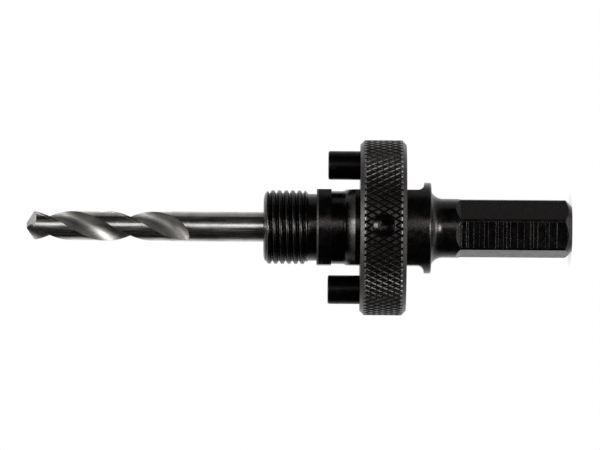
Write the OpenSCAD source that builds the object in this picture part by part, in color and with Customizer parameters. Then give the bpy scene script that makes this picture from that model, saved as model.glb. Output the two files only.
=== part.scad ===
// Hole saw arbor with a sliding two-pin drive collar and a pilot drill.
// The axis is Z, the drill points up +Z and the origin is the centre of the hex shank's end face.
// The two flats of the body and the two drive pins face +X and -X, and the detent screw faces -Y.

/* [Hex shank] */
// Across flats of the hex
hex_af = 11.11; // [9:0.01:12]
// Length of the hex flats, from the end face
hex_len = 23.7; // [15:0.1:40]
// Axial length of the slope where each flat runs out to the neck
hex_run_len = 1; // [0.3:0.1:2.5]
// Diameter of the flat end face, inside its chamfer
end_face_d = 9.6; // [7:0.1:11]
// Turn of the hex about the axis against the body's flats, in degrees
hex_turn = 14.4; // [0:0.1:60]

/* [Neck] */
// Diameter of the round neck, which also truncates the hex corners
neck_d = 12.5; // [12:0.1:14]
// Length of the neck from the hex flats' slope to the flange
neck_len = 5.2; // [4:0.1:15]
// Radius of the fillet between neck and flange
neck_fillet_r = 2.75; // [1:0.05:3.2]
// Part of the fillet's radius that lies along the neck before the flange cuts it
neck_fillet_len = 2.5; // [0.9:0.05:3]

/* [Body] */
// Diameter of the round bar that the body is turned from
bar_d = 19.3; // [18:0.1:22]
// Length of the bar, from the flange's rear face to the shoulder
bar_len = 24.3; // [22:0.1:32]
// Distance across the two flats
flats_af = 16; // [15:0.1:17]
// Thickness of the full-round flange behind the flats
flange_len = 1.5; // [1:0.1:4]
// Radius that the cutter leaves at the end of each flat
flat_fillet_r = 1.4; // [0.5:0.05:1.6]
// Rounding of the flange's rear edge
flange_round_r = 0.5; // [0.2:0.05:0.8]
// Chamfer of the shoulder's edge
shoulder_chamfer = 0.4; // [0.1:0.05:0.8]

/* [Detent groove] */
// Diameter of the groove's floor
groove_d = 15.5; // [15:0.1:17]
// Distance from the shoulder to the groove's steep front wall
groove_from_shoulder = 3.1; // [2:0.1:4]
// Length of the groove's floor, up to the corner of the ramp
groove_floor_len = 2.8; // [2:0.1:4]
// Slope of the groove's ramp, in degrees
groove_ramp_angle = 40; // [30:1:60]
// Radius between the groove's floor and its ramp
groove_fillet_r = 1.2; // [0.5:0.05:2]

/* [Threaded nose] */
// Major diameter of the thread
thread_d = 15.65; // [15:0.05:18]
// Thread pitch
thread_pitch = 1.411; // [1.25:0.001:1.8]
// Depth of the thread groove
thread_depth = 0.62; // [0.4:0.01:0.7]
// Width of the thread groove's flat root
thread_root_w = 0.12; // [0.1:0.01:0.4]
// Angle between the thread's flanks, in degrees
thread_angle = 60; // [55:1:60]
// Direction in which the thread's groove starts, in degrees from the X axis
thread_start_angle = 180; // [0:5:360]
// Length of the nose, from the shoulder to its front face
nose_len = 11.3; // [8:0.1:16]
// Diameter of the undercut behind the thread
undercut_d = 14.2; // [13.5:0.05:14.25]
// Length of the undercut, up to the thread's sloped end
undercut_len = 1.75; // [1.5:0.05:3]
// Radial size of the rounded front edge
nose_round_d = 2.2; // [0.5:0.1:3]
// Axial size of the rounded front edge
nose_round_len = 1.3; // [0.5:0.1:2]

/* [Pilot drill] */
// Drill diameter
drill_d = 6.35; // [5:0.05:7]
// Length of drill ahead of the nose
drill_reach = 50.3; // [35:0.1:70]
// Length of shank held inside the body
drill_hold = 32.5; // [25:0.1:36]
// Included angle of the point, in degrees
point_angle = 118; // [100:1:140]
// Slope of the point's two flanks behind their lips, in degrees
lip_relief = 18; // [5:1:20]
// Turn of the lips about the axis, in degrees
lip_turn = -32; // [-90:1:90]
// Axial length of one full turn of the flutes
flute_lead = 34.3; // [25:0.1:45]
// Length of the flutes, from the tip to the end of their run-out
flute_len = 34.6; // [20:0.1:45]
// Length of the run-out, where the flutes rise to the surface
flute_run_len = 4.5; // [2:0.1:8]
// Thickness of the web between the flutes
web_t = 1.2; // [0.6:0.05:1.6]
// Angle that each flute spans around the drill's edge, in degrees
flute_opening = 100; // [80:1:110]
// Bulge of the heel's side of each flute
heel_bulge = 0.45; // [0.1:0.05:0.6]
// Width of the margin behind each lip, at the drill's full diameter
margin_w = 0.6; // [0.3:0.05:1.2]
// Depth of the relief of each land behind its margin
land_relief = 0.1; // [0.03:0.01:0.2]
// Chamfer of the shank's rear end
drill_rear_chamfer = 0.4; // [0.1:0.1:1]
// Radial clearance between the drill and its bore
drill_fit = 0.03; // [0.01:0.01:0.08]

/* [Pilot set screw] */
// Screw diameter
pilot_screw_d = 4.5; // [3:0.1:6]
// Depth of the screw's outer face below the flat
pilot_screw_recess = 0.5; // [0.2:0.05:1.5]
// Distance from the flange's rear face to the screw's axis
pilot_screw_from_flange = 9; // [7:0.1:12]

/* [Drive collar] */
// Outer diameter over the knurl
collar_d = 37.2; // [35:0.1:42]
// Width along the axis
collar_w = 9.8; // [8:0.1:14]
// Distance from the flange's front face to the collar's rear face, at rest
collar_gap = 3.8; // [2.5:0.1:6]
// Chamfer of both outer edges
collar_chamfer = 0.95; // [0.3:0.05:1.5]
// Distance between knurl grooves around the edge
knurl_pitch = 1.425; // [1.2:0.005:3]
// Angle of the knurl grooves to the axis, in degrees
knurl_angle = 30; // [20:1:45]
// Depth of the knurl grooves
knurl_depth = 0.24; // [0.1:0.01:0.5]
// Width of the knurl grooves at the surface
knurl_groove_w = 0.46; // [0.2:0.01:0.8]
// Clearance between the collar and the body, on each side
slide_fit = 0.05; // [0.02:0.01:0.1]
// Chamfer of the collar's bore
bore_chamfer = 0.4; // [0.1:0.05:0.6]

/* [Drive pins] */
// Pin diameter ahead of the collar
pin_d = 6.1; // [4:0.1:7]
// Diameter of each pin's shank, which the collar holds
pin_shank_d = 5.5; // [4:0.1:6]
// Diameter of the circle through the pins' axes
pin_circle_d = 26.4; // [25:0.1:29]
// Length of pin ahead of the collar
pin_reach = 6.8; // [4:0.1:9]
// Depth of the pins' rear ends in the collar's rear face
pin_recess = 0.4; // [0.1:0.05:1]
// Rounding of the pins' edges
pin_round_r = 0.45; // [0.1:0.05:1]
// Radial clearance of a pin's shank in its hole
pin_fit = 0.01; // [0.005:0.005:0.03]

/* [Detent] */
// Diameter of the radial screw hole
detent_hole_d = 4.6; // [4:0.1:6]
// Chamfer of the hole's mouth
detent_hole_chamfer = 0.3; // [0.1:0.05:0.8]
// Ball diameter
ball_d = 3.5; // [3:0.1:3.9]
// Gap between the ball and the body's land
ball_gap = 0.05; // [0.01:0.01:0.2]
// Radial clearance of the ball in its hole
ball_fit = 0.06; // [0.02:0.01:0.1]
// Mean diameter of the spring
spring_d = 2.4; // [2:0.05:2.7]
// Wire diameter of the spring
spring_wire_d = 0.45; // [0.3:0.05:0.6]
// Number of turns of the spring
spring_turns = 3; // [2:0.5:4]
// Depth of the screw's outer face below the collar's edge
detent_screw_recess = 0.7; // [0.3:0.05:1.5]
// Length of the screw
detent_screw_len = 3; // [2.2:0.1:3.2]

/* [Set screw details] */
// Across flats of both screws' sockets
socket_af = 2.38; // [1.5:0.01:3]
// Depth of both screws' sockets
socket_depth = 1.7; // [1:0.1:2]
// Chamfer of both screws' outer edges
screw_chamfer = 0.35; // [0.1:0.05:0.6]
// Radial clearance of both screws in their holes
screw_fit = 0.05; // [0.02:0.01:0.08]

/* [Hidden] */
$fn = 96;

// Overshoot of a cutting solid past the face that it cuts
over = 1;
// Heights along the axis
hex_run_z = hex_len + hex_run_len;
flange_z = hex_run_z + neck_len;
flats_z = flange_z + flange_len;
shoulder_z = flange_z + bar_len;
undercut_z = shoulder_z + undercut_len;
nose_z = shoulder_z + nose_len;
tip_z = nose_z + drill_reach;
drill_rear_z = nose_z - drill_hold;
groove_front_z = shoulder_z - groove_from_shoulder;
groove_corner_z = groove_front_z - groove_floor_len;
collar_z = flats_z + collar_gap;
collar_front_z = collar_z + collar_w;
detent_z = collar_z + collar_w / 2;
pilot_screw_z = flange_z + pilot_screw_from_flange;
// Radii
neck_r = neck_d / 2;
bar_r = bar_d / 2;
groove_r = groove_d / 2;
thread_r = thread_d / 2;
undercut_r = undercut_d / 2;
drill_r = drill_d / 2;
collar_r = collar_d / 2;
pin_r = pin_d / 2;
// Places along the detent's radial axis, measured from the arbor's axis
ball_centre_r = bar_r + ball_gap + ball_d / 2;
detent_screw_r = collar_r - detent_screw_recess;
spring_outer_r = detent_screw_r - detent_screw_len;
spring_seat_rise = sqrt(pow((ball_d + spring_wire_d) / 2, 2) - pow(spring_d / 2, 2));
spring_inner_r = ball_centre_r + spring_seat_rise - spring_wire_d / 2;
ball_hole_d = ball_d + 2 * ball_fit;
// Points along each part of a flute's cross-section
lip_stations = [1.05, 0.8, 0.55, 0.35, 0.15, 0];
heel_steps = 5;
land_steps = 4;
outer_steps = 6;
// Angle between points of the nose's rounded front edge, in degrees
nose_round_step = 15;

module black_steel() { color([0.09, 0.09, 0.10]) children(); }
module bright_steel() { color([0.72, 0.71, 0.69]) children(); }

// Closed solid through a list of rings with equal numbers of points, listed counter-clockwise
// as seen from the last ring. In a lattice the odd quads are split along their other diagonal.
module skin(rings, lattice = false) {
    size = len(rings[0]);
    last = (len(rings) - 1) * size;
    polyhedron(
        points = [for (ring = rings) each ring],
        faces = concat(
            [[for (k = [0 : size - 1]) k]],
            [[for (k = [size - 1 : -1 : 0]) last + k]],
            [for (i = [0 : len(rings) - 2], k = [0 : size - 1])
                let (a = i * size + k, b = i * size + (k + 1) % size)
                each lattice && (i + k) % 2 == 1
                    ? [[a, a + size, b], [b, a + size, b + size]]
                    : [[a, a + size, b + size], [a, b + size, b]]]));
}

// Round bar with a chamfer at its front edge and a rounded one at its rear
module bar_outline() {
    difference() {
        polygon([[0, flange_z], [bar_r, flange_z], [bar_r, shoulder_z - shoulder_chamfer],
                 [bar_r - shoulder_chamfer, shoulder_z], [0, shoulder_z]]);
        difference() {
            translate([bar_r - flange_round_r, flange_z - over])
                square([flange_round_r + over, flange_round_r + over]);
            translate([bar_r - flange_round_r, flange_z + flange_round_r])
                circle(flange_round_r);
        }
    }
}

// Hex bar's round blank and neck, with the end chamfer and the fillet under the flange
module neck_outline() {
    end_r = end_face_d / 2;
    fillet_z = flange_z - neck_fillet_len;
    polygon([[0, 0], [end_r, 0], [neck_r, neck_r - end_r], [neck_r, flange_z + over],
             [0, flange_z + over]]);
    difference() {
        translate([neck_r - over, fillet_z])
            square([neck_fillet_r + over, neck_fillet_len + over]);
        translate([neck_r + neck_fillet_r, fillet_z])
            circle(neck_fillet_r);
        translate([neck_r - over, flange_z + over / 2])
            square([neck_fillet_r + 2 * over, over]);
    }
}

// Detent groove: steep front wall, floor and ramp, with a fillet left between the last two
module groove_outline() {
    ramp_len = (bar_r + over - groove_r) / tan(groove_ramp_angle);
    tangent_len = groove_fillet_r * tan(groove_ramp_angle / 2);
    centre = [groove_r + groove_fillet_r, groove_corner_z + tangent_len];
    ramp_point = [groove_r + tangent_len * sin(groove_ramp_angle),
                  groove_corner_z - tangent_len * cos(groove_ramp_angle)];
    difference() {
        polygon([[groove_r, groove_front_z], [groove_r, groove_corner_z],
                 [bar_r + over, groove_corner_z - ramp_len], [bar_r + over, groove_front_z]]);
        difference() {
            polygon([[groove_r, groove_corner_z], [groove_r, centre[1]], centre, ramp_point]);
            translate(centre) circle(groove_fillet_r);
        }
    }
}

// Undercut and threaded nose, with a quarter-ellipse front edge
module nose_outline() {
    slope_len = thread_r - undercut_r;
    polygon(concat(
        [[0, shoulder_z - over], [undercut_r, shoulder_z - over], [undercut_r, undercut_z],
         [thread_r, undercut_z + slope_len]],
        [for (t = [90 : -nose_round_step : 0])
            [thread_r - nose_round_d * (1 - sin(t)), nose_z - nose_round_len * (1 - cos(t))]],
        [[0, nose_z]]));
}

// Helical V groove that leaves the thread's crests on the nose
module thread_groove() {
    steps = 36;
    margin = 0.06;
    root_half = thread_root_w / 2;
    mouth_half = root_half + (thread_depth + margin) * tan(thread_angle / 2);
    root_r = thread_r - thread_depth;
    mouth_r = thread_r + margin;
    start_z = shoulder_z + undercut_len / 2;
    turns = (nose_z + thread_pitch - start_z) / thread_pitch;
    skin([for (i = [0 : ceil(turns * steps)])
        let (a = thread_start_angle + i * 360 / steps, z = start_z + i * thread_pitch / steps)
        [for (p = [[mouth_r, mouth_half], [mouth_r, -mouth_half],
                   [root_r, -root_half], [root_r, root_half]])
            [p[0] * cos(a), p[0] * sin(a), z + p[1]]]]);
}

// Removes what lies outside one face of the hex, with a slope up to the neck
module hex_flat_cut() {
    flat_r = hex_af / 2;
    rise = neck_r - flat_r;
    out_r = neck_r + over;
    slope_end = hex_len + hex_run_len * (out_r - flat_r) / rise;
    rotate([90, 0, 0])
        linear_extrude(height = neck_d, center = true)
            polygon([[flat_r, -over], [out_r, -over], [out_r, slope_end], [flat_r, hex_len]]);
}

// Removes one side of the bar, with the cutter's radius left at the rear end
module body_flat_cut() {
    flat_r = flats_af / 2;
    cut_w = bar_r - flat_r + over;
    cut_len = shoulder_z - flats_z + over;
    translate([flat_r, -bar_r, flats_z])
        difference() {
            cube([cut_w, bar_d, cut_len]);
            difference() {
                translate([-over, -over, -over])
                    cube([flat_fillet_r + over, bar_d + 2 * over, flat_fillet_r + over]);
                translate([flat_fillet_r, bar_r, flat_fillet_r])
                    rotate([90, 0, 0])
                        cylinder(r = flat_fillet_r, h = bar_d + 4 * over, center = true);
            }
        }
}

module pilot_bore() {
    bore_r = drill_r + drill_fit;
    cone_len = bore_r / tan(point_angle / 2);
    rotate_extrude()
        polygon([[0, drill_rear_z - cone_len], [bore_r, drill_rear_z], [bore_r, nose_z + over],
                 [0, nose_z + over]]);
}

module arbor_body() {
    black_steel()
    difference() {
        union() {
            rotate_extrude() neck_outline();
            rotate_extrude()
                difference() {
                    bar_outline();
                    groove_outline();
                }
            rotate_extrude() nose_outline();
        }
        for (side = [0, 180]) rotate(side) body_flat_cut();
        for (face = [0 : 5]) rotate(hex_turn + 60 * face) hex_flat_cut();
        thread_groove();
        pilot_bore();
        translate([0, 0, pilot_screw_z])
            rotate([0, 90, 0])
                cylinder(d = pilot_screw_d + 2 * screw_fit, h = bar_r + over);
    }
}

// Turn of the flutes about the axis at a height above or below the tip
function flute_turn(z) = lip_turn + (z - tip_z) * 360 / flute_lead;

// One flute's cross-section, measured from its lip. The lip's side is the curve that leaves the
// lip straight on the point's cone, the heel's side is an arc, and the land behind the heel is
// relieved up to the next lip's margin. Each point is [radius, angle, angle of its lift], because
// in the run-out the land is lifted outwards and the flute along its own middle.
function flute_section() =
    let (web_r = web_t / 2,
         twist = 360 / flute_lead / tan(point_angle / 2),
         lip = [for (x = lip_stations * drill_r)
             [norm([x, web_r]), atan2(web_r, x) + x * twist]],
         lip_a = lip[0][1],
         heel_a = lip_a + flute_opening,
         margin_a = lip_a + 180 - margin_w / drill_r * 180 / PI,
         middle = lip_a + flute_opening / 2,
         land_r = drill_r - land_relief,
         side = land_r * [cos(heel_a), sin(heel_a)] - [0, web_r],
         bulge = heel_bulge * 4 * [side[1], -side[0]] / norm(side),
         heel = [for (k = [heel_steps : -1 : 1])
             let (t = k / heel_steps, p = [0, web_r] + t * side - t * (1 - t) * bulge)
             [norm(p), atan2(p[1], p[0])]])
    concat(
        [for (k = [0 : outer_steps])
            let (a = lip_a + (margin_a - lip_a) * k / outer_steps) [drill_r + over, a, a]],
        [for (k = [land_steps : -1 : 1])
            let (a = heel_a + (margin_a - heel_a) * k / land_steps) [land_r, a, a]],
        [for (p = heel) [p[0], p[1], middle]],
        [for (k = [len(lip) - 1 : -1 : 0]) [lip[k][0], lip[k][1], middle]]);

// Both flutes, which rise out of the drill at their rear end as a grinding wheel leaves them
module flutes() {
    step = 7.5;
    clear = 0.02;
    start_z = tip_z - flute_len;
    depth = drill_r - web_t / 2 + clear;
    wheel_r = (pow(flute_run_len, 2) + pow(depth, 2)) / (2 * depth);
    section = flute_section();
    rings = ceil((flute_len + over) / flute_lead * 360 / step);
    for (side = [0, 180])
        skin([for (i = [0 : rings])
            let (z = start_z + i * flute_lead * step / 360,
                 run = max(0, flute_run_len - (z - start_z)),
                 rise = wheel_r - sqrt(pow(wheel_r, 2) - pow(run, 2)),
                 turn = side + flute_turn(z))
            [for (p = section)
                [p[0] * cos(p[1] + turn) + rise * cos(p[2] + turn),
                 p[0] * sin(p[1] + turn) + rise * sin(p[2] + turn), z]]]);
}

// Removes what lies ahead of the point's two flanks
module point_cut() {
    slope = [1 / tan(point_angle / 2), -tan(lip_relief)];
    size = 4 * drill_d;
    for (side = [0, 180])
        translate([0, 0, tip_z])
            rotate(lip_turn + side)
                rotate([0, atan(norm(slope)), atan2(slope[1], slope[0])])
                    translate([-size / 2, -size / 2, 0])
                        cube(size);
}

module pilot_drill() {
    length = tip_z - drill_rear_z;
    bright_steel()
    difference() {
        translate([0, 0, drill_rear_z])
            rotate_extrude()
                polygon([[0, 0], [drill_r - drill_rear_chamfer, 0], [drill_r, drill_rear_chamfer],
                         [drill_r, length + over], [0, length + over]]);
        flutes();
        point_cut();
    }
}

// Set screw along +X with its outer, socketed face at x = 0
module set_screw(d, length) {
    r = d / 2;
    difference() {
        rotate([0, -90, 0])
            rotate_extrude()
                polygon([[0, 0], [r - screw_chamfer, 0], [r, screw_chamfer],
                         [r, length - screw_chamfer], [r - screw_chamfer, length], [0, length]]);
        translate([-socket_depth, 0, 0])
            rotate([0, 90, 0])
                cylinder(d = socket_af / cos(30), h = socket_depth + over, $fn = 6);
    }
}

module pilot_set_screw() {
    outer_x = flats_af / 2 - pilot_screw_recess;
    black_steel()
        translate([outer_x, 0, pilot_screw_z])
            set_screw(pilot_screw_d, outer_x - drill_r - drill_fit);
}

// Blank whose outside is a lattice of pyramids, with V grooves between them in both directions.
// The collar's own surface cuts the pyramids' tips off.
module knurled_blank() {
    grooves = round(PI * collar_d / knurl_pitch);
    columns = 2 * grooves;
    row_h = PI * collar_d / grooves / 2 / tan(knurl_angle);
    rows = ceil(collar_w / row_h) + 2;
    low_z = (collar_z + collar_front_z - rows * row_h) / 2;
    low_r = collar_r - knurl_depth;
    tip_r = low_r + knurl_depth * knurl_pitch * cos(knurl_angle) / knurl_groove_w;
    skin([for (j = [0 : rows])
        [for (i = [0 : columns - 1])
            let (a = i * 360 / columns, r = (i + j) % 2 == 0 ? low_r : tip_r)
            [r * cos(a), r * sin(a), low_z + j * row_h]]], lattice = true);
}

module collar_outline() {
    face_r = collar_r - collar_chamfer;
    polygon([[0, collar_z], [face_r, collar_z], [collar_r, collar_z + collar_chamfer],
             [collar_r, collar_front_z - collar_chamfer], [face_r, collar_front_z],
             [0, collar_front_z]]);
}

module collar_bore() {
    bore_r = bar_r + slide_fit;
    c = bore_chamfer;
    intersection() {
        rotate_extrude()
            polygon([[0, collar_z - c], [bore_r + 2 * c, collar_z - c], [bore_r, collar_z + c],
                     [bore_r, collar_front_z - c], [bore_r + 2 * c, collar_front_z + c],
                     [0, collar_front_z + c]]);
        translate([-flats_af / 2 - slide_fit, -collar_r, collar_z - over])
            cube([flats_af + 2 * slide_fit, collar_d, collar_w + 2 * over]);
    }
}

module detent_hole() {
    step_r = detent_screw_r - detent_screw_len - spring_wire_d;
    chamfer_r = detent_hole_d / 2 + detent_hole_chamfer;
    translate([0, 0, detent_z])
        rotate([90, 0, 0]) {
            cylinder(d = ball_hole_d, h = collar_r);
            translate([0, 0, step_r])
                cylinder(d = detent_hole_d, h = collar_r);
            translate([0, 0, collar_r - detent_hole_chamfer])
                cylinder(r1 = detent_hole_d / 2, r2 = chamfer_r + over,
                         h = detent_hole_chamfer + over);
        }
}

module drive_collar() {
    black_steel()
    difference() {
        intersection() {
            rotate_extrude() collar_outline();
            knurled_blank();
        }
        collar_bore();
        for (side = [-1, 1])
            translate([side * pin_circle_d / 2, 0, collar_z - over])
                cylinder(d = pin_shank_d + 2 * pin_fit, h = collar_w + 2 * over);
        detent_hole();
    }
}

// Drive pin along Z, with its shank in the collar and a shoulder on the collar's front face
module drive_pin(side) {
    shank_r = pin_shank_d / 2;
    shank_len = collar_w - pin_recess;
    black_steel()
    translate([side * pin_circle_d / 2, 0, collar_z + pin_recess])
        rotate_extrude() {
            square([shank_r - pin_round_r, shank_len + pin_round_r]);
            translate([0, pin_round_r])
                square([shank_r, shank_len]);
            translate([shank_r - pin_round_r, pin_round_r])
                circle(pin_round_r);
            translate([0, shank_len])
                square([pin_r, pin_reach - pin_round_r]);
            translate([0, shank_len])
                square([pin_r - pin_round_r, pin_reach]);
            translate([pin_r - pin_round_r, shank_len + pin_reach - pin_round_r])
                circle(pin_round_r);
        }
}

module drive_pin_a() { drive_pin(1); }
module drive_pin_b() { drive_pin(-1); }

module detent_ball() {
    bright_steel()
        translate([0, -ball_centre_r, detent_z])
            sphere(d = ball_d);
}

// Compression spring between the ball and the screw
module detent_spring() {
    steps = 24;
    sides = 8;
    length = spring_outer_r - spring_inner_r - spring_wire_d;
    rings = spring_turns * steps;
    bright_steel()
        translate([0, -spring_inner_r - spring_wire_d / 2, detent_z])
            rotate([90, 0, 0])
                skin([for (i = [0 : rings])
                    let (a = i * 360 / steps, z = length * i / rings)
                    [for (k = [0 : sides - 1])
                        let (b = k * 360 / sides, r = spring_d / 2 + spring_wire_d / 2 * cos(b))
                        [r * cos(a), r * sin(a), z - spring_wire_d / 2 * sin(b)]]]);
}

module detent_screw() {
    black_steel()
        translate([0, -detent_screw_r, detent_z])
            rotate(-90)
                set_screw(detent_hole_d - 2 * screw_fit, detent_screw_len);
}

arbor_body();
pilot_drill();
pilot_set_screw();
drive_collar();
drive_pin_a();
drive_pin_b();
detent_ball();
detent_spring();
detent_screw();
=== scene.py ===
import math

import bmesh
import bpy
from mathutils import Matrix, Vector


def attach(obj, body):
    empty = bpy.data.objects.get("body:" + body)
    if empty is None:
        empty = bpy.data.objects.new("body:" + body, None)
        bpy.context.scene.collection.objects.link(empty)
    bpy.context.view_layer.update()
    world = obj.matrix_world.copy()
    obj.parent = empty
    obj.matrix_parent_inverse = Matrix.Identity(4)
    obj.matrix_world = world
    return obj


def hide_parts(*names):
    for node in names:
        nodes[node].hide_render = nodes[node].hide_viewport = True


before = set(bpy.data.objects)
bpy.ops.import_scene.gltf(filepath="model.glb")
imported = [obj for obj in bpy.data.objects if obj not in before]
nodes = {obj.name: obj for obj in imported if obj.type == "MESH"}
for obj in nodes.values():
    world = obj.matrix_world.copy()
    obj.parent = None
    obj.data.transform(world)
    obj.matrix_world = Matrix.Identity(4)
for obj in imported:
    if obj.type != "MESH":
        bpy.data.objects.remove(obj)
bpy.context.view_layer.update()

MM = 0.001
WHITE = (1, 1, 1, 1)

# The photograph's frame, in pixels, and how the arbor lies in it
PHOTO_W = 600
PHOTO_H = 450
MM_PER_PX = 0.2125
SHANK_END_PX = 571.7
AXIS_AT_CENTRE_PX = 227.15
TILT_DEG = 0.41
TURN_DEG = 1.5
CAMERA_DISTANCE = 1.6
CAMERA_SEES_TO = 10
SENSOR_W = 36.0

# Softboxes: name, degrees to picture right, degrees up, width and height in metres, radiance
SOFTBOXES = (
    ("front_box", 0, 10, (0.5, 0.28), 1.6),
    ("right_box", 34, 0, (0.34, 0.26), 20),
    ("right_far_box", 66, 4, (0.3, 0.34), 7),
    ("left_box", -74, 11, (0.34, 0.3), 13),
    ("left_low_box", -48, 8, (0.2, 0.2), 6),
)
LIGHT_AIM = (0, 0, 0.055)
LIGHT_DISTANCE = 0.9

# World: what metal mirrors by direction, and the even light that fills the shadows
ROOM_LEVEL = 0.006
ROOM_TO = 0.06
HORIZON_LEVEL = 0.32
HORIZON_FROM = 0.2
BACKDROP_FROM = 0.3
BACKDROP_FULL = 0.95
BACKDROP_TILT = 0.2
ENDS_FROM = 0.8
ENDS_FULL = 0.94
FILL_LEVEL = 0.25

# Floor, in metres: white but for an oval round and behind the shank, a painted shadow with the shank's
# real shadow inside it
FLOOR_R = 0.5
FLOOR_SIDES = 96
FLOOR_COLOUR = (0.9, 0.9, 0.9, 1)
FLOOR_ROUGHNESS = 0.9
OVAL_WHITE = 0.45
OVAL_BEHIND = 0.012
OVAL_SQUASH = 0.4
OVAL_FADE_FROM = 0.003
OVAL_FADE_TO = 0.009

# Numbers of the colour sockets on a Mix node
MIX_FIRST = 6
MIX_SECOND = 7
MIX_RESULT = 2

# How far a pattern moves a surface's roughness, and the stretch of the pattern that does it
DULLER = 0.06
GLOSSIER = 0.05
ROUGH_FROM = 0.3
ROUGH_TO = 0.7

# Black oxide: colours, scales of noise on coordinates in metres, and depths in metres
OXIDE_BASE = (0.0008, 0.0007, 0.0007, 1)
OXIDE_COOL = (0.5, 0.5, 0.52, 1)
OXIDE_WARM = (1.0, 0.86, 0.78, 1)
# Painted shade: a dark tint on the reflection low in the knurl's grooves
GROOVE_PAINTED_SHADE = (0.06, 0.06, 0.06, 1)
WORN_STEEL = (0.36, 0.35, 0.34, 1)
GRAIN_SCALE = 3200
GRAIN_FROM = 0.42
GRAIN_TO = 0.6
CLOUD_SCALE = 700
GRAIN_DEPTH = 0.000005
TURNED_SCALE = 7000
TURNED_DEPTH = 0.000001
MILLED_SCALE = 1300
MILLED_FROM = 0.5
MILLED_TO = 0.58
MILLED_DEPTH = 0.00009
EDGE_BREAK = 0.00008
FINE_EDGE_BREAK = 0.00003
BEVEL_SAMPLES = 6

# Ground steel: scales of noise on coordinates in metres, and depths in metres
STREAK_SCALE = 3000
STREAK_SQUASH = 0.04
STREAK_DEPTH = 0.000003
GRIND_SCALE = 4000
GRIND_DEPTH = 0.0000012
PATCH_SCALE = 220
PATCH_FROM = 0.35
PATCH_TO = 0.65

# Hex shank, in millimetres and degrees, and how squarely a face must lie to show the cutter's
# marks, as a cosine. Two faces do
HEX_LEN = 23.7
HEX_TURN = 14.4
HEX_FADE = 0.1
FACING_FROM = 0.96
FACING_FULL = 0.98

# Thread, in millimetres and turns, as the CAD has it, with the worn rounding of its crests
THREAD_PITCH = 1.411
THREAD_START_Z = 55.075
THREAD_START_TURN = 0.5
CREST_HALF_W = 0.3
CREST_ROUND = 0.15
CREST_FADE_FROM = 0.6
CREST_FADE_TO = 1.2

# Drive collar, in millimetres, as the CAD has it
COLLAR_R = 18.6
KNURL_FROM_Z = 36.15
KNURL_TO_Z = 44.05
KNURL_DEPTH = 0.24

# Painted shade low in the knurl's grooves, and its worn ends: how far below its crests, as shares of
# its depth, then millimetres
GROOVE_DARK = 0.9
GROOVE_CLEAR = 0.35
KNURL_END_DARK = 1.5
KNURL_END_CLEAR = 2
KNURL_FADE = 0.05
WORN_FROM = 0.3
WORN_FULL = 0.1
WORN_PAST = 0.02
WORN_END = 0.06
WORN_TOP_FROM = 0.06
WORN_TOP_FULL = 0.03

# Detent screw, in millimetres, as the CAD has it
DETENT_Z = 40.1
SCREW_FACE_R = 17.9
SCREW_LEN = 3
SCREW_R = 2.25
SCREW_CHAMFER = 0.35
SOCKET_AF = 2.38
SOCKET_DEPTH = 1.7

# The detent screw's dished face and the drilled bottom of its socket, which only the scene has
DISH_R = 5.6
DISH_RIM = 0.05
SOCKET_CONE_DEG = 17
SCREW_SIDES = 96
DISH_STEPS = 8

# Pilot drill, in millimetres and degrees, as the CAD has it
DRILL_R = 3.175
TIP_Z = 115.8
REAR_Z = 33.0
REAR_CHAMFER = 0.4
POINT_ANGLE = 118
LIP_RELIEF = 18
LIP_TURN = -32
FLUTE_LEAD = 34.3
FLUTE_LEN = 34.6
FLUTE_RUN_LEN = 4.5
WEB_R = 0.6
FLUTE_OPENING = 100
HEEL_BULGE = 0.45
MARGIN_DEG = 10.83
LAND_RELIEF = 0.1

# How finely the drill is made, and how far its cuts run past its surface, in millimetres. The
# lip's overrun is a factor, and the two last distances are in metres
FLUTE_CLEAR = 0.02
LIP_OVERRUN = 1.05
POINT_OVERRUN = 1
CURVE_STEPS = 40
FLUTE_POINTS = 30
LAND_POINTS = 22
MARGIN_POINTS = 5
CROSSING_STEPS = 30
RUN_STEP = 0.09
SWEEP_STEP = 0.2
MERGE_DISTANCE = 1e-7
CUT_DISTANCE = 1e-9

# Edges of the made pieces that turn by more than this, in degrees, stay sharp
SHARP_DEG = 28


def material(name):
    """A new node material, its node tree and its shader."""
    mat = bpy.data.materials.new(name)
    mat.use_nodes = True
    tree = mat.node_tree
    return mat, tree, tree.nodes["Principled BSDF"]


def add(tree, kind, **settings):
    """A node of that kind with its properties set."""
    node = tree.nodes.new(kind)
    for key, value in settings.items():
        setattr(node, key, value)
    return node


def ramp(tree, source, low, high, start, end):
    """Smooth step of a value from start, below low, to end, above high."""
    node = add(tree, "ShaderNodeMapRange", interpolation_type="SMOOTHSTEP")
    tree.links.new(source, node.inputs["Value"])
    for key, value in (("From Min", low), ("From Max", high), ("To Min", start), ("To Max", end)):
        node.inputs[key].default_value = value
    return node.outputs[0]


def math_node(tree, operation, *values):
    """A Math node whose inputs are outputs to link or plain numbers."""
    node = add(tree, "ShaderNodeMath", operation=operation)
    for socket, value in zip(node.inputs, values):
        if isinstance(value, (int, float)):
            socket.default_value = value
        else:
            tree.links.new(value, socket)
    return node.outputs[0]


def mix_colour(tree, factor, first, second):
    """The first colour where the factor is 0, the second where it is 1. Each is an output or plain."""
    node = add(tree, "ShaderNodeMix", data_type="RGBA")
    tree.links.new(factor, node.inputs[0])
    for number, value in ((MIX_FIRST, first), (MIX_SECOND, second)):
        if isinstance(value, tuple):
            node.inputs[number].default_value = value
        else:
            tree.links.new(value, node.inputs[number])
    return node.outputs[MIX_RESULT]


def coordinates(tree, kind):
    """The coordinates of that kind, and the same split into X, Y and Z."""
    here = add(tree, "ShaderNodeTexCoord").outputs[kind]
    split = add(tree, "ShaderNodeSeparateXYZ")
    tree.links.new(here, split.inputs[0])
    return here, split.outputs


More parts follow.
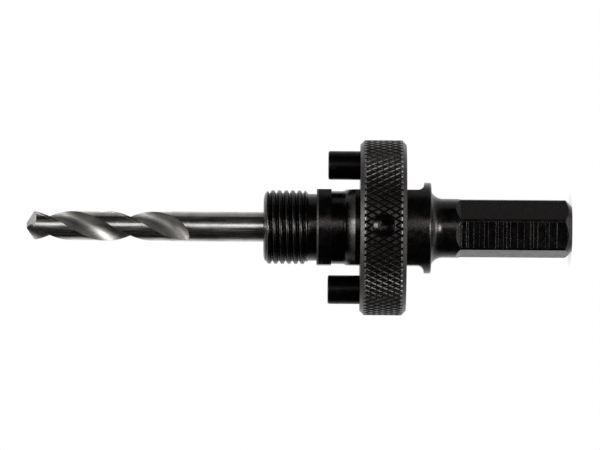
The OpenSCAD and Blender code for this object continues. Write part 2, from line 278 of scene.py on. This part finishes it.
def noise(tree, where, scale, detail, dimensions="3D"):
    """A noise pattern. where is a vector, or in one dimension a height."""
    node = add(tree, "ShaderNodeTexNoise", noise_dimensions=dimensions)
    tree.links.new(where, node.inputs["W" if dimensions == "1D" else "Vector"])
    node.inputs["Scale"].default_value = scale
    node.inputs["Detail"].default_value = detail
    return node.outputs[0]


def bump(tree, height, depth, below=None):
    """Bumps of a depth in metres. below is a surface that they lie on."""
    node = add(tree, "ShaderNodeBump")
    tree.links.new(height, node.inputs["Height"])
    node.inputs["Strength"].default_value = 1.0
    node.inputs["Distance"].default_value = depth
    if below is not None:
        tree.links.new(below, node.inputs["Normal"])
    return node.outputs[0]


def place_camera():
    """Long lens at -Y, rolled so that picture left is +Z and picture up is +X."""
    turn = math.radians(TURN_DEG)
    tilt = math.radians(TILT_DEG)
    back = Vector((-math.sin(turn), -math.cos(turn), 0))
    up = Vector((math.cos(turn), -math.sin(turn), 0))
    right = Vector((0, 0, -1))
    rolled_right = math.cos(tilt) * right + math.sin(tilt) * up
    rolled_up = math.cos(tilt) * up - math.sin(tilt) * right
    centre_z = (SHANK_END_PX - PHOTO_W / 2) * MM_PER_PX * MM
    drop = (AXIS_AT_CENTRE_PX - PHOTO_H / 2) * MM_PER_PX * MM
    target = Vector((0, 0, centre_z)) + up * drop
    data = bpy.data.cameras.new("camera")
    data.sensor_width = SENSOR_W
    data.lens = SENSOR_W * CAMERA_DISTANCE / (PHOTO_W * MM_PER_PX * MM)
    data.clip_end = CAMERA_SEES_TO
    camera = bpy.data.objects.new("camera", data)
    bpy.context.scene.collection.objects.link(camera)
    rotation = Matrix((rolled_right, rolled_up, back)).transposed().to_4x4()
    camera.matrix_world = Matrix.Translation(target + back * CAMERA_DISTANCE) @ rotation
    bpy.context.scene.camera = camera


def toward(right_deg, up_deg):
    """Unit vector from the arbor, turned from the camera's direction to picture right and up."""
    right, up = math.radians(right_deg), math.radians(up_deg)
    return Vector((math.sin(up) * math.cos(right), -math.cos(up) * math.cos(right), -math.sin(right)))


def softbox(name, right_deg, up_deg, size, radiance):
    """A rectangular light that faces the arbor. size is along the picture's width and height."""
    data = bpy.data.lights.new(name, "AREA")
    data.shape = "RECTANGLE"
    data.size, data.size_y = size
    data.energy = radiance * math.pi * size[0] * size[1]
    light = bpy.data.objects.new(name, data)
    out = toward(right_deg, up_deg)
    side = (Vector((0, 0, -1)) + out * out.z).normalized()
    rotation = Matrix((side, out.cross(side), out)).transposed().to_4x4()
    light.matrix_world = Matrix.Translation(Vector(LIGHT_AIM) + out * LIGHT_DISTANCE) @ rotation
    bpy.context.scene.collection.objects.link(light)


def make_world():
    """White for the camera and plain for soft light. Metal mirrors the pale backdrop behind the
    arbor, the white floor and ceiling, and a dark room in front."""
    world = bpy.data.worlds.new("studio")
    bpy.context.scene.world = world
    world.use_nodes = True
    world.cycles.sampling_method = "NONE"
    tree = world.node_tree
    tree.nodes.clear()
    _, axes = coordinates(tree, "Generated")
    tilted = math_node(tree, "MULTIPLY_ADD", axes["X"], BACKDROP_TILT, axes["Y"])
    near = ramp(tree, tilted, ROOM_TO, HORIZON_FROM, ROOM_LEVEL, HORIZON_LEVEL)
    far = ramp(tree, axes["Y"], BACKDROP_FROM, BACKDROP_FULL, 0.0, 1.0 - HORIZON_LEVEL)
    behind = math_node(tree, "ADD", near, far)
    ends = ramp(tree, math_node(tree, "ABSOLUTE", axes["Z"]), ENDS_FROM, ENDS_FULL, 0.0, 1.0)
    backdrop = math_node(tree, "MAXIMUM", behind, ends)
    path = add(tree, "ShaderNodeLightPath").outputs
    mirror = math_node(tree, "ADD", path["Is Glossy Ray"], path["Is Transmission Ray"])
    shown = math_node(tree, "MULTIPLY_ADD", mirror, backdrop, path["Is Camera Ray"])
    level = math_node(tree, "MULTIPLY_ADD", path["Is Diffuse Ray"], FILL_LEVEL, shown)
    background = add(tree, "ShaderNodeBackground")
    background.inputs["Color"].default_value = WHITE
    tree.links.new(level, background.inputs["Strength"])
    output = add(tree, "ShaderNodeOutputWorld")
    tree.links.new(background.outputs[0], output.inputs["Surface"])


def floor_material():
    """White for the camera, but for an oval round and behind the shank where the pale, matt
    floor and its shadow show through. The oval is a painted shadow, darker than the white round it
    also where no shadow falls."""
    mat, tree, shader = material("floor")
    link = tree.links.new
    shader.inputs["Base Color"].default_value = FLOOR_COLOUR
    shader.inputs["Roughness"].default_value = FLOOR_ROUGHNESS
    shader.inputs["Specular IOR Level"].default_value = 0.0
    here, _ = coordinates(tree, "Object")
    # Painted shadow: the oval behind the shank is darker than the white floor round it, with the real
    # shadow inside it
    oval = add(tree, "ShaderNodeVectorMath", operation="MULTIPLY_ADD")
    link(here, oval.inputs[0])
    oval.inputs[1].default_value = (1, OVAL_SQUASH, 1)
    oval.inputs[2].default_value = (0, -OVAL_BEHIND * OVAL_SQUASH, 0)
    length = add(tree, "ShaderNodeVectorMath", operation="LENGTH")
    link(oval.outputs[0], length.inputs[0])
    fade = ramp(tree, length.outputs["Value"], OVAL_FADE_FROM, OVAL_FADE_TO, OVAL_WHITE, 1.0)
    path = add(tree, "ShaderNodeLightPath").outputs
    seen = math_node(tree, "MULTIPLY", path["Is Camera Ray"], fade)
    white = add(tree, "ShaderNodeEmission")
    white.inputs["Color"].default_value = WHITE
    mix = add(tree, "ShaderNodeMixShader")
    link(seen, mix.inputs[0])
    link(shader.outputs[0], mix.inputs[1])
    link(white.outputs[0], mix.inputs[2])
    link(mix.outputs[0], tree.nodes["Material Output"].inputs["Surface"])
    return mat


def make_floor():
    """Floor under the shank's end face. Mirrored rays and lamps pass through it, as in the
    photograph, where the arbor lies clear of any floor."""
    mesh = bpy.data.meshes.new("floor")
    angles = [math.tau * i / FLOOR_SIDES for i in range(FLOOR_SIDES)]
    rim = [(FLOOR_R * math.cos(angle), FLOOR_R * math.sin(angle), 0) for angle in angles]
    mesh.from_pydata(rim, [], [list(range(FLOOR_SIDES))])
    mesh.materials.append(floor_material())
    floor = bpy.data.objects.new("floor", mesh)
    floor.visible_glossy = False
    floor.visible_shadow = False
    bpy.context.scene.collection.objects.link(floor)


def crest_height(tree, axes):
    """Height of the thread's rounded crests, from 0 at their edges to 1, along the helix."""
    pitch = MM * THREAD_PITCH
    angle = math_node(tree, "ARCTAN2", axes["Y"], axes["X"])
    raised = math_node(tree, "MULTIPLY_ADD", angle, -pitch / math.tau, axes["Z"])
    start = MM * THREAD_START_Z - pitch * THREAD_START_TURN
    turns = math_node(tree, "DIVIDE", math_node(tree, "SUBTRACT", raised, start), pitch)
    across = math_node(tree, "SUBTRACT", math_node(tree, "FRACT", turns), 0.5)
    scaled = math_node(tree, "MULTIPLY", across, THREAD_PITCH / CREST_HALF_W)
    fall = math_node(tree, "MINIMUM", math_node(tree, "MULTIPLY", scaled, scaled), 1.0)
    fade_from = MM * (THREAD_START_Z + CREST_FADE_FROM)
    fade_to = MM * (THREAD_START_Z + CREST_FADE_TO)
    on_nose = ramp(tree, axes["Z"], fade_from, fade_to, 0.0, 1.0)
    return math_node(tree, "MULTIPLY", math_node(tree, "SUBTRACT", 1.0, fall), on_nose)


def milling_marks(tree, height):
    """Lines across the two hex faces that show the cutter's marks."""
    pattern = noise(tree, height, MILLED_SCALE, 1.0, "1D")
    line = ramp(tree, pattern, MILLED_FROM, MILLED_TO, 0.0, 1.0)
    on_hex = ramp(tree, height, MM * (HEX_LEN - HEX_FADE), MM * (HEX_LEN + HEX_FADE), 1.0, 0.0)
    turn = math.radians(HEX_TURN)
    facing = add(tree, "ShaderNodeVectorMath", operation="DOT_PRODUCT")
    tree.links.new(add(tree, "ShaderNodeTexCoord").outputs["Normal"], facing.inputs[0])
    facing.inputs[1].default_value = (-math.sin(turn), -math.cos(turn), 0)
    either = math_node(tree, "ABSOLUTE", facing.outputs["Value"])
    on_face = ramp(tree, either, FACING_FROM, FACING_FULL, 0.0, 1.0)
    return math_node(tree, "MULTIPLY", line, math_node(tree, "MULTIPLY", on_hex, on_face))


def axis_distance(tree, axes):
    """Distance from the arbor's axis."""
    y_squared = math_node(tree, "MULTIPLY", axes["Y"], axes["Y"])
    return math_node(tree, "SQRT", math_node(tree, "MULTIPLY_ADD", axes["X"], axes["X"], y_squared))


def painted_groove_shade_mask(tree, radius, height):
    """Painted shade mask: 0 low in the knurl's grooves, where shade is painted, 1 on its crests and
    off the knurl.
    """
    dark = MM * (COLLAR_R - KNURL_DEPTH * GROOVE_DARK)
    clear = MM * (COLLAR_R - KNURL_DEPTH * GROOVE_CLEAR)
    crest = ramp(tree, radius, dark, clear, 0.0, 1.0)
    inner_clear = MM * (COLLAR_R - KNURL_DEPTH * KNURL_END_CLEAR)
    inner_dark = MM * (COLLAR_R - KNURL_DEPTH * KNURL_END_DARK)
    inner = ramp(tree, radius, inner_clear, inner_dark, 1.0, 0.0)
    below = ramp(tree, height, MM * (KNURL_FROM_Z - KNURL_FADE), MM * KNURL_FROM_Z, 1.0, 0.0)
    above = ramp(tree, height, MM * KNURL_TO_Z, MM * (KNURL_TO_Z + KNURL_FADE), 0.0, 1.0)
    off = math_node(tree, "MAXIMUM", inner, math_node(tree, "MAXIMUM", below, above))
    return math_node(tree, "MAXIMUM", crest, off)


def worn_mask(tree, radius, height):
    """1 on the tops of the knurl's crests where they end at the chamfers."""
    middle = MM * (KNURL_FROM_Z + KNURL_TO_Z) / 2
    edge = (KNURL_TO_Z - KNURL_FROM_Z) / 2
    from_middle = math_node(tree, "ABSOLUTE", math_node(tree, "SUBTRACT", height, middle))
    inside = ramp(tree, from_middle, MM * (edge - WORN_FROM), MM * (edge - WORN_FULL), 0.0, 1.0)
    outside = ramp(tree, from_middle, MM * (edge + WORN_PAST), MM * (edge + WORN_END), 1.0, 0.0)
    top_from = MM * (COLLAR_R - WORN_TOP_FROM)
    top_full = MM * (COLLAR_R - WORN_TOP_FULL)
    top = ramp(tree, radius, top_from, top_full, 0.0, 1.0)
    return math_node(tree, "MULTIPLY", top, math_node(tree, "MULTIPLY", inside, outside))


def uneven(tree, pattern, roughness):
    """Roughness that varies a little with a pattern."""
    return ramp(tree, pattern, ROUGH_FROM, ROUGH_TO, roughness - GLOSSIER, roughness + DULLER)


def black_oxide(name, roughness, sheen, edge_break=EDGE_BREAK, machined=False, knurled=False):
    """Black oxide on steel: dark, faintly brown, with fine grain. machined adds the body's rounded
    thread, turning lines and milling marks, knurled the collar's worn ends and painted shade low in
    its grooves."""
    mat, tree, shader = material(name)
    link = tree.links.new
    here, axes = coordinates(tree, "Object")
    grain = noise(tree, here, GRAIN_SCALE, 4.0)
    cloud = noise(tree, here, CLOUD_SCALE, 2.0)
    shader.inputs["Base Color"].default_value = OXIDE_BASE
    warm = ramp(tree, grain, GRAIN_FROM, GRAIN_TO, 0.0, 1.0)
    shine = mix_colour(tree, warm, OXIDE_COOL, OXIDE_WARM)
    if knurled:
        radius = axis_distance(tree, axes)
        worn = worn_mask(tree, radius, axes["Z"])
        # Painted shade: the reflection is darkened low in the knurl's grooves
        shine = mix_colour(tree, painted_groove_shade_mask(tree, radius, axes["Z"]), GROOVE_PAINTED_SHADE, shine)
        link(mix_colour(tree, worn, OXIDE_BASE, WORN_STEEL), shader.inputs["Base Color"])
        link(worn, shader.inputs["Metallic"])
    link(shine, shader.inputs["Specular Tint"])
    link(uneven(tree, cloud, roughness), shader.inputs["Roughness"])
    shader.inputs["Specular IOR Level"].default_value = sheen
    edge = add(tree, "ShaderNodeBevel", samples=BEVEL_SAMPLES)
    edge.inputs["Radius"].default_value = edge_break
    surface = edge.outputs[0]
    if machined:
        surface = bump(tree, crest_height(tree, axes), MM * CREST_ROUND, surface)
    surface = bump(tree, grain, GRAIN_DEPTH, surface)
    if machined:
        lines = noise(tree, axes["Z"], TURNED_SCALE, 3.0, "1D")
        surface = bump(tree, lines, TURNED_DEPTH, surface)
        surface = bump(tree, milling_marks(tree, axes["Z"]), MILLED_DEPTH, surface)
    link(surface, shader.inputs["Normal"])
    return mat


def ground_steel(name, roughness, dull, clear):
    """Bright ground steel: streaks along the axis, and fainter grinding marks round it."""
    mat, tree, shader = material(name)
    link = tree.links.new
    here, axes = coordinates(tree, "Object")
    drawn = add(tree, "ShaderNodeVectorMath", operation="MULTIPLY")
    link(here, drawn.inputs[0])
    drawn.inputs[1].default_value = (1, 1, STREAK_SQUASH)
    streaks = noise(tree, drawn.outputs[0], STREAK_SCALE, 3.0)
    marks = noise(tree, axes["Z"], GRIND_SCALE, 3.0, "1D")
    pattern = noise(tree, here, PATCH_SCALE, 3.0)
    patches = ramp(tree, pattern, PATCH_FROM, PATCH_TO, 0.0, 1.0)
    shader.inputs["Metallic"].default_value = 1.0
    link(mix_colour(tree, patches, (*dull, 1), (*clear, 1)), shader.inputs["Base Color"])
    link(uneven(tree, streaks, roughness), shader.inputs["Roughness"])
    surface = bump(tree, streaks, STREAK_DEPTH, bump(tree, marks, GRIND_DEPTH))
    link(surface, shader.inputs["Normal"])
    return mat


def dress(node_name, mat):
    """Gives a carried-over CAD node one material."""
    slots = nodes[node_name].data.materials
    slots.clear()
    slots.append(mat)


def polar(radius, degrees):
    """X and Y of a point at that radius and angle."""
    return radius * math.cos(math.radians(degrees)), radius * math.sin(math.radians(degrees))


def angle_of(point):
    """The angle of a point, in degrees."""
    return math.degrees(math.atan2(point[1], point[0]))


def between(a, b, t):
    """The point on the line from a to b where t of it is done."""
    return a[0] + (b[0] - a[0]) * t, a[1] + (b[1] - a[1]) * t


def wall(bm, rings):
    """Makes the faces between each ring of points and the next, with their place in the ring."""
    faces = []
    for low, high in zip(rings, rings[1:]):
        for k in range(len(low)):
            n = (k + 1) % len(low)
            faces.append((k, bm.faces.new((low[k], low[n], high[n], high[k]))))
    return faces


def to_object(bm, name, *mats):
    """A smooth object with sharp edges from a closed mesh."""
    bmesh.ops.recalc_face_normals(bm, faces=bm.faces[:])
    for face in bm.faces:
        face.smooth = True
    mesh = bpy.data.meshes.new(name)
    bm.to_mesh(mesh)
    bm.free()
    mesh.set_sharp_from_angle(angle=math.radians(SHARP_DEG))
    for mat in mats:
        mesh.materials.append(mat)
    made = bpy.data.objects.new(name, mesh)
    bpy.context.scene.collection.objects.link(made)
    return made


def flute_curve():
    """A flute's section, in along the lip to the web, then out along the bulged heel, and the
    angle where it starts."""
    twist = 360 / FLUTE_LEAD / math.tan(math.radians(POINT_ANGLE / 2))
    curve = []
    for k in range(CURVE_STEPS):
        x = DRILL_R * LIP_OVERRUN * (1 - k / CURVE_STEPS)
        curve.append(polar(math.hypot(x, WEB_R), angle_of((x, WEB_R)) + x * twist))
    lip_deg = angle_of(curve[0])
    corner = polar(DRILL_R - LAND_RELIEF, lip_deg + FLUTE_OPENING)
    side = corner[0], corner[1] - WEB_R
    length = math.hypot(*side)
    bulge = 4 * HEEL_BULGE * side[1] / length, -4 * HEEL_BULGE * side[0] / length
    for k in range(CURVE_STEPS + 1):
        t = k / CURVE_STEPS
        bow = t * (1 - t)
        curve.append((t * side[0] - bow * bulge[0], WEB_R + t * side[1] - bow * bulge[1]))
    return curve, lip_deg


def crossing(inside, outside, radius):
    """Where the line from a point inside a circle to one outside crosses it."""
    low, high = 0.0, 1.0
    for _ in range(CROSSING_STEPS):
        middle = (low + high) / 2
        if math.hypot(*between(inside, outside, middle)) < radius:
            low = middle
        else:
            high = middle
    return between(inside, outside, low)


def spread(points, count):
    """That many points, evenly spaced along a line of points."""
    lengths = [0.0]
    for a, b in zip(points, points[1:]):
        lengths.append(lengths[-1] + math.dist(a, b))
    result = []
    k = 0
    for i in range(count):
        want = lengths[-1] * i / (count - 1)
        while k < len(points) - 2 and lengths[k + 1] < want:
            k += 1
        span = lengths[k + 1] - lengths[k]
        t = min(1.0, (want - lengths[k]) / span) if span > 0 else 0.0
        result.append(between(points[k], points[k + 1], t))
    return result


def drill_section(curve, lip_deg, rise):
    """Half of the drill's outline where its flutes have risen by that much towards their end."""
    lift = polar(rise, lip_deg + FLUTE_OPENING / 2)
    land_r = min(DRILL_R, DRILL_R - LAND_RELIEF + rise)
    moved = [(x + lift[0], y + lift[1]) for x, y in curve]
    limits = [DRILL_R] * CURVE_STEPS + [land_r] * (len(moved) - CURVE_STEPS)
    inner = [i for i, point in enumerate(moved) if math.hypot(*point) < limits[i]]
    if inner:
        first, last = inner[0], inner[-1]
        line = moved[first:last + 1]
        if first > 0:
            line.insert(0, crossing(moved[first], moved[first - 1], DRILL_R))
        if last < len(moved) - 1:
            line.append(crossing(moved[last], moved[last + 1], land_r))
        flute = spread(line, FLUTE_POINTS)
    else:
        flute = [polar(DRILL_R, lip_deg + FLUTE_OPENING / 2)] * FLUTE_POINTS
    lip_end = angle_of(flute[0])
    heel_end = lip_end + (angle_of(flute[-1]) - lip_end) % 360
    margin_from = lip_deg + 180 - MARGIN_DEG
    land = [polar(land_r, heel_end + (margin_from - heel_end) * k / LAND_POINTS)
            for k in range(1, LAND_POINTS + 1)]
    margin = [polar(DRILL_R, margin_from + (lip_end + 180 - margin_from) * k / MARGIN_POINTS)
              for k in range(MARGIN_POINTS)]
    return flute + land + margin


def drill_ring(bm, section, z, turn, scale=1.0):
    """Points of the drill's whole outline at a height, from its half outline turned twice."""
    points = []
    for half in (0, 180):
        c, s = polar(scale, turn + half)
        for x, y in section:
            points.append(bm.verts.new((MM * (x * c - y * s), MM * (x * s + y * c), MM * z)))
    return points


def grind_point(bm):
    """Cuts the drill's tip with the two planes of its point, and closes the cuts."""
    slope = 1 / math.tan(math.radians(POINT_ANGLE / 2))
    relief = math.tan(math.radians(LIP_RELIEF))
    for half in (0, 180):
        c, s = polar(1.0, LIP_TURN + half)
        normal = (slope * c + relief * s, slope * s - relief * c, 1)
        parts = bm.verts[:] + bm.edges[:] + bm.faces[:]
        bmesh.ops.bisect_plane(bm, geom=parts, dist=CUT_DISTANCE, plane_co=(0, 0, MM * TIP_Z),
                               plane_no=normal, clear_outer=True)
        bmesh.ops.holes_fill(bm, edges=[edge for edge in bm.edges if edge.is_boundary], sides=0)


def make_drill(mat, flute_mat):
    """The pilot drill in finer facets than the CAD's: swept rings with a ground point."""
    curve, lip_deg = flute_curve()
    start_z = TIP_Z - FLUTE_LEN
    full_z = start_z + FLUTE_RUN_LEN
    end_z = TIP_Z + POINT_OVERRUN
    depth = DRILL_R - WEB_R + FLUTE_CLEAR
    wheel_r = (FLUTE_RUN_LEN ** 2 + depth ** 2) / (2 * depth)
    runs = math.ceil(FLUTE_RUN_LEN / RUN_STEP)
    sweeps = math.ceil((end_z - full_z) / SWEEP_STEP)
    heights = [start_z + FLUTE_RUN_LEN * k / runs for k in range(runs)]
    heights += [full_z + (end_z - full_z) * k / sweeps for k in range(sweeps + 1)]
    plain = drill_section(curve, lip_deg, depth * 2)
    first_turn = LIP_TURN - FLUTE_LEN * 360 / FLUTE_LEAD
    bm = bmesh.new()
    rings = [drill_ring(bm, plain, REAR_Z, first_turn, 1 - REAR_CHAMFER / DRILL_R),
             drill_ring(bm, plain, REAR_Z + REAR_CHAMFER, first_turn)]
    bm.faces.new(list(reversed(rings[0])))
    for z in heights:
        run = max(0.0, full_z - z)
        rise = wheel_r - math.sqrt(wheel_r ** 2 - run ** 2)
        turn = LIP_TURN + (z - TIP_Z) * 360 / FLUTE_LEAD
        rings.append(drill_ring(bm, drill_section(curve, lip_deg, rise), z, turn))
    for k, face in wall(bm, rings):
        # Flute faces take the darker steel, which paints shade in the flutes
        face.material_index = 1 if k % len(plain) < FLUTE_POINTS - 1 else 0
    bmesh.ops.remove_doubles(bm, verts=bm.verts[:], dist=MERGE_DISTANCE)
    grind_point(bm)
    drill = to_object(bm, "pilot_drill_ground", mat, flute_mat)
    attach(drill, "arbor")
    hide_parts("pilot_drill")


def make_detent_screw(mat):
    """The detent's set screw with a dished face, as its ground end has, round a hex socket."""
    half_af = SOCKET_AF / 2
    cone = half_af * math.tan(math.radians(SOCKET_CONE_DEG))
    rim_r = SCREW_R - DISH_RIM
    bm = bmesh.new()

    def spot(radius, degrees, depth):
        x, z = polar(radius, degrees)
        return bm.verts.new((MM * x, -MM * (SCREW_FACE_R - depth), MM * (DETENT_Z + z)))

    def dish(radius):
        return math.sqrt(DISH_R ** 2 - radius ** 2) - math.sqrt(DISH_R ** 2 - rim_r ** 2)

    angles = [360 * i / SCREW_SIDES for i in range(SCREW_SIDES)]
    hexagon = [half_af / math.cos(math.radians((angle + 30) % 60 - 30)) for angle in angles]
    rings = [[spot(radius, angle, SOCKET_DEPTH) for radius, angle in zip(hexagon, angles)]]
    for k in range(DISH_STEPS + 1):
        radii = [radius + (rim_r - radius) * k / DISH_STEPS for radius in hexagon]
        rings.append([spot(radius, angle, dish(radius)) for radius, angle in zip(radii, angles)])
    for radius, depth in ((SCREW_R, DISH_RIM), (SCREW_R, SCREW_LEN - SCREW_CHAMFER),
                          (SCREW_R - SCREW_CHAMFER, SCREW_LEN)):
        rings.append([spot(radius, angle, depth) for angle in angles])
    wall(bm, rings)
    for ring, depth in ((rings[0], SOCKET_DEPTH + cone), (rings[-1], SCREW_LEN)):
        middle = spot(0, 0, depth)
        for k in range(SCREW_SIDES):
            bm.faces.new((ring[k], ring[(k + 1) % SCREW_SIDES], middle))
    screw = to_object(bm, "detent_screw_dished", mat)
    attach(screw, "collar")
    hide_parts("detent_screw")


place_camera()
bpy.context.scene.view_settings.view_transform = "Standard"
make_world()
make_floor()
for box in SOFTBOXES:
    softbox(*box)

body_black = black_oxide("black_oxide_turned", roughness=0.25, sheen=0.6, machined=True)
plain_black = black_oxide("black_oxide_plain", roughness=0.16, sheen=0.35)
knurl_black = black_oxide("black_oxide_knurled", roughness=0.36, sheen=0.8,
                          edge_break=FINE_EDGE_BREAK, knurled=True)
pin_black = black_oxide("black_oxide_pin", roughness=0.34, sheen=0.2)
screw_black = black_oxide("black_oxide_screw", roughness=0.2, sheen=0.3, edge_break=FINE_EDGE_BREAK)
drill_steel = ground_steel("ground_steel", roughness=0.26, dull=(0.47, 0.45, 0.43),
                           clear=(0.68, 0.665, 0.64))
# Painted shade: the same ground steel in a darker colour for the hollow flutes, which are also rougher
flute_steel_painted_shade = ground_steel("flute_steel_painted_shade", roughness=0.46, dull=(0.3, 0.285, 0.27),
                           clear=(0.44, 0.425, 0.405))
spring_steel = ground_steel("spring_steel", roughness=0.18, dull=(0.5, 0.49, 0.48),
                            clear=(0.6, 0.59, 0.58))

for node_name in nodes:
    dress(node_name, plain_black)
dress("arbor_body", body_black)
dress("drive_collar", knurl_black)
dress("drive_pin_a", pin_black)
dress("drive_pin_b", pin_black)
dress("pilot_drill", drill_steel)
dress("detent_ball", spring_steel)
dress("detent_spring", spring_steel)
make_drill(drill_steel, flute_steel_painted_shade)
make_detent_screw(screw_black)
